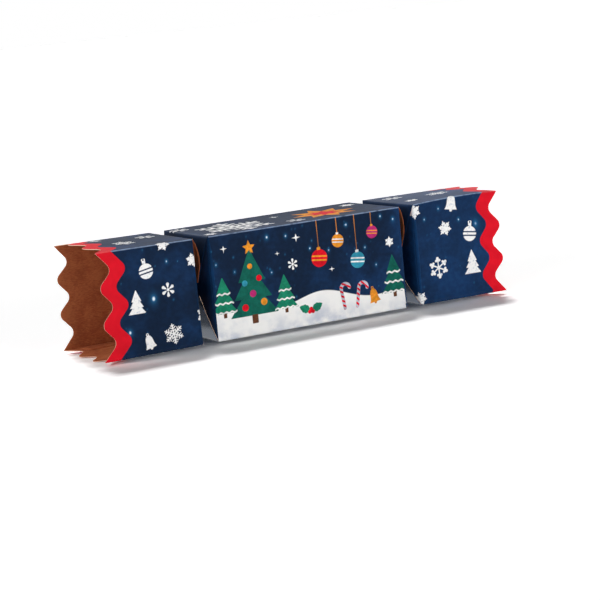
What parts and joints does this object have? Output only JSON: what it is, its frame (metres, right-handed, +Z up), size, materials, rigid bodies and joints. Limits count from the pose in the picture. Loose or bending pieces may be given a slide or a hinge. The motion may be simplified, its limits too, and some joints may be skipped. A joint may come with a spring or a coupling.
{
  "type": "christmas cracker",
  "caption": "Square folding-carton Christmas cracker: a printed middle box and wavy open end tubes on pinched necks that unfold when the ends are pulled.",
  "frame": {"origin": "centre of the base, on the surface that the cracker lies on", "axes": "+X along the cracker towards its right end, +Z up, front face towards -Y"},
  "size_m": [0.2826, 0.065, 0.065],
  "materials": {
    "night_print": "satin",
    "fold_print": "satin",
    "kraft": "matte"
  },
  "bodies": {
    "centre_box": {"centre_front_panel": "night_print", "centre_back_panel": "night_print", "centre_top_panel": "night_print", "centre_bottom_panel": "night_print", "centre_seam_flap": "kraft"},
    "left_end_tube": {"left_end_front_panel": "night_print", "left_end_back_panel": "night_print", "left_end_top_panel": "night_print", "left_end_bottom_panel": "night_print", "left_end_seam_flap": "kraft"},
    "left_front_inner": {"left_neck_front_inner_fold": "fold_print"},
    "left_front_outer": {"left_neck_front_outer_fold": "fold_print"},
    "left_back_inner": {"left_neck_back_inner_fold": "fold_print"},
    "left_back_outer": {"left_neck_back_outer_fold": "fold_print"},
    "left_top_inner": {"left_neck_top_inner_fold": "fold_print"},
    "left_top_outer": {"left_neck_top_outer_fold": "fold_print"},
    "left_bottom_inner": {"left_neck_bottom_inner_fold": "fold_print"},
    "left_bottom_outer": {"left_neck_bottom_outer_fold": "fold_print"},
    "right_end_tube": {"right_end_front_panel": "night_print", "right_end_back_panel": "night_print", "right_end_top_panel": "night_print", "right_end_bottom_panel": "night_print", "right_end_seam_flap": "kraft"},
    "right_front_inner": {"right_neck_front_inner_fold": "fold_print"},
    "right_front_outer": {"right_neck_front_outer_fold": "fold_print"},
    "right_back_inner": {"right_neck_back_inner_fold": "fold_print"},
    "right_back_outer": {"right_neck_back_outer_fold": "fold_print"},
    "right_top_inner": {"right_neck_top_inner_fold": "fold_print"},
    "right_top_outer": {"right_neck_top_outer_fold": "fold_print"},
    "right_bottom_inner": {"right_neck_bottom_inner_fold": "fold_print"},
    "right_bottom_outer": {"right_neck_bottom_outer_fold": "fold_print"}
  },
  "joints": [
    {"name": "left_neck_pull", "type": "hinge", "parent": "centre_box", "child": "left_front_inner", "pos_m": [-0.067, -0.0321, 0.0325], "axis": [0, 0, 1], "range_deg": [0, 75]},
    {"name": "left_neck_front_valley", "type": "hinge", "parent": "left_front_inner", "child": "left_front_outer", "pos_m": [-0.0725, -0.0041, 0.0325], "axis": [0, 0, -1], "range_deg": [0, 150]},
    {"name": "left_end_front_crease", "type": "hinge", "parent": "left_front_outer", "child": "left_end_tube", "pos_m": [-0.078, -0.0321, 0.0325], "axis": [0, 0, 1], "range_deg": [0, 75]},
    {"name": "left_neck_back_inner_crease", "type": "hinge", "parent": "centre_box", "child": "left_back_inner", "pos_m": [-0.067, 0.0321, 0.0325], "axis": [0, 0, -1], "range_deg": [0, 75]},
    {"name": "left_neck_back_outer_crease", "type": "hinge", "parent": "left_end_tube", "child": "left_back_outer", "pos_m": [-0.078, 0.0321, 0.0325], "axis": [0, 0, 1], "range_deg": [0, 75]},
    {"name": "left_neck_top_inner_crease", "type": "hinge", "parent": "centre_box", "child": "left_top_inner", "pos_m": [-0.067, 0, 0.0646], "axis": [0, 1, 0], "range_deg": [0, 75]},
    {"name": "left_neck_top_outer_crease", "type": "hinge", "parent": "left_end_tube", "child": "left_top_outer", "pos_m": [-0.078, 0, 0.0646], "axis": [0, -1, 0], "range_deg": [0, 75]},
    {"name": "left_neck_bottom_inner_crease", "type": "hinge", "parent": "centre_box", "child": "left_bottom_inner", "pos_m": [-0.067, 0, 0.0004], "axis": [0, -1, 0], "range_deg": [0, 75]},
    {"name": "left_neck_bottom_outer_crease", "type": "hinge", "parent": "left_end_tube", "child": "left_bottom_outer", "pos_m": [-0.078, 0, 0.0004], "axis": [0, 1, 0], "range_deg": [0, 75]},
    {"name": "right_neck_pull", "type": "hinge", "parent": "centre_box", "child": "right_front_inner", "pos_m": [0.067, -0.0321, 0.0325], "axis": [0, 0, -1], "range_deg": [0, 75]},
    {"name": "right_neck_front_valley", "type": "hinge", "parent": "right_front_inner", "child": "right_front_outer", "pos_m": [0.0725, -0.0041, 0.0325], "axis": [0, 0, 1], "range_deg": [0, 150]},
    {"name": "right_end_front_crease", "type": "hinge", "parent": "right_front_outer", "child": "right_end_tube", "pos_m": [0.078, -0.0321, 0.0325], "axis": [0, 0, -1], "range_deg": [0, 75]},
    {"name": "right_neck_back_inner_crease", "type": "hinge", "parent": "centre_box", "child": "right_back_inner", "pos_m": [0.067, 0.0321, 0.0325], "axis": [0, 0, 1], "range_deg": [0, 75]},
    {"name": "right_neck_back_outer_crease", "type": "hinge", "parent": "right_end_tube", "child": "right_back_outer", "pos_m": [0.078, 0.0321, 0.0325], "axis": [0, 0, -1], "range_deg": [0, 75]},
    {"name": "right_neck_top_inner_crease", "type": "hinge", "parent": "centre_box", "child": "right_top_inner", "pos_m": [0.067, 0, 0.0646], "axis": [0, -1, 0], "range_deg": [0, 75]},
    {"name": "right_neck_top_outer_crease", "type": "hinge", "parent": "right_end_tube", "child": "right_top_outer", "pos_m": [0.078, 0, 0.0646], "axis": [0, 1, 0], "range_deg": [0, 75]},
    {"name": "right_neck_bottom_inner_crease", "type": "hinge", "parent": "centre_box", "child": "right_bottom_inner", "pos_m": [0.067, 0, 0.0004], "axis": [0, 1, 0], "range_deg": [0, 75]},
    {"name": "right_neck_bottom_outer_crease", "type": "hinge", "parent": "right_end_tube", "child": "right_bottom_outer", "pos_m": [0.078, 0, 0.0004], "axis": [0, -1, 0], "range_deg": [0, 75]}
  ],
  "couplings": [
    {"joint": "left_neck_front_valley", "follows": "left_neck_pull", "ratio": 2},
    {"joint": "left_end_front_crease", "follows": "left_neck_pull", "ratio": 1},
    {"joint": "left_neck_back_inner_crease", "follows": "left_neck_pull", "ratio": 1},
    {"joint": "left_neck_back_outer_crease", "follows": "left_neck_pull", "ratio": 1},
    {"joint": "left_neck_top_inner_crease", "follows": "left_neck_pull", "ratio": 1},
    {"joint": "left_neck_top_outer_crease", "follows": "left_neck_pull", "ratio": 1},
    {"joint": "left_neck_bottom_inner_crease", "follows": "left_neck_pull", "ratio": 1},
    {"joint": "left_neck_bottom_outer_crease", "follows": "left_neck_pull", "ratio": 1},
    {"joint": "right_neck_front_valley", "follows": "right_neck_pull", "ratio": 2},
    {"joint": "right_end_front_crease", "follows": "right_neck_pull", "ratio": 1},
    {"joint": "right_neck_back_inner_crease", "follows": "right_neck_pull", "ratio": 1},
    {"joint": "right_neck_back_outer_crease", "follows": "right_neck_pull", "ratio": 1},
    {"joint": "right_neck_top_inner_crease", "follows": "right_neck_pull", "ratio": 1},
    {"joint": "right_neck_top_outer_crease", "follows": "right_neck_pull", "ratio": 1},
    {"joint": "right_neck_bottom_inner_crease", "follows": "right_neck_pull", "ratio": 1},
    {"joint": "right_neck_bottom_outer_crease", "follows": "right_neck_pull", "ratio": 1}
  ]
}
